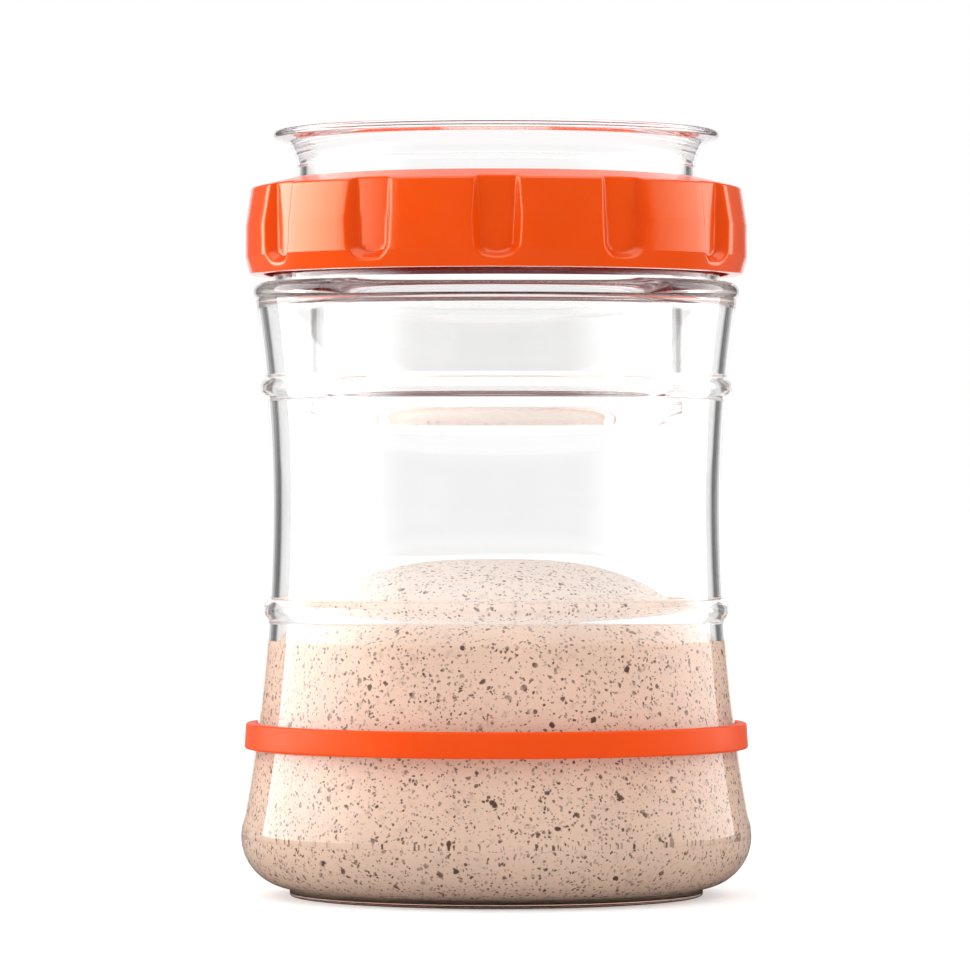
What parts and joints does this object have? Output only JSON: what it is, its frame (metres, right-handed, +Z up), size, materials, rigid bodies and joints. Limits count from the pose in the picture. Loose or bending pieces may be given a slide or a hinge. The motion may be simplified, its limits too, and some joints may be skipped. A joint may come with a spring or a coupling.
{
  "type": "sourdough starter jar",
  "caption": "Waisted glass jar with moulded beads, a notched screw ring, a clear cup insert with a flared lip, a level band and a domed starter inside.",
  "frame": {"origin": "centre of the foot, on the surface the jar stands on", "axes": "+Z up along the jar's axis; -Y towards the camera side, where one notch of the ring is centred"},
  "size_m": [0.105, 0.105, 0.157],
  "materials": {
    "jar_glass": "gloss",
    "clear_plastic": "gloss",
    "orange_plastic": "satin",
    "orange_silicone": "matte",
    "starter": "satin"
  },
  "bodies": {
    "jar": {"glass_jar": "jar_glass", "starter_dough": "starter"},
    "band": {"level_band": "orange_silicone"},
    "seal": {"lid_seal": "orange_silicone"},
    "ring": {"screw_ring": "orange_plastic"},
    "cup": {"clear_cup": "clear_plastic"}
  },
  "joints": [
    {"name": "band_slide", "type": "slide", "parent": "jar", "child": "band", "axis": [0, 0, 1], "range_m": [0, 0.02]},
    {"name": "lid_rise", "type": "slide", "parent": "jar", "child": "seal", "axis": [0, 0, 1], "range_m": [0, 0.0158]},
    {"name": "lid_turn", "type": "hinge", "parent": "seal", "child": "ring", "pos_m": [0, 0, 0.136], "axis": [0, 0, 1], "range_deg": [0, 630]},
    {"name": "cup_lift", "type": "slide", "parent": "seal", "child": "cup", "axis": [0, 0, 1], "range_m": [0, 0.065]}
  ],
  "couplings": [
    {"joint": "lid_rise", "follows": "lid_turn", "m_per_rad": 0.0014324}
  ]
}
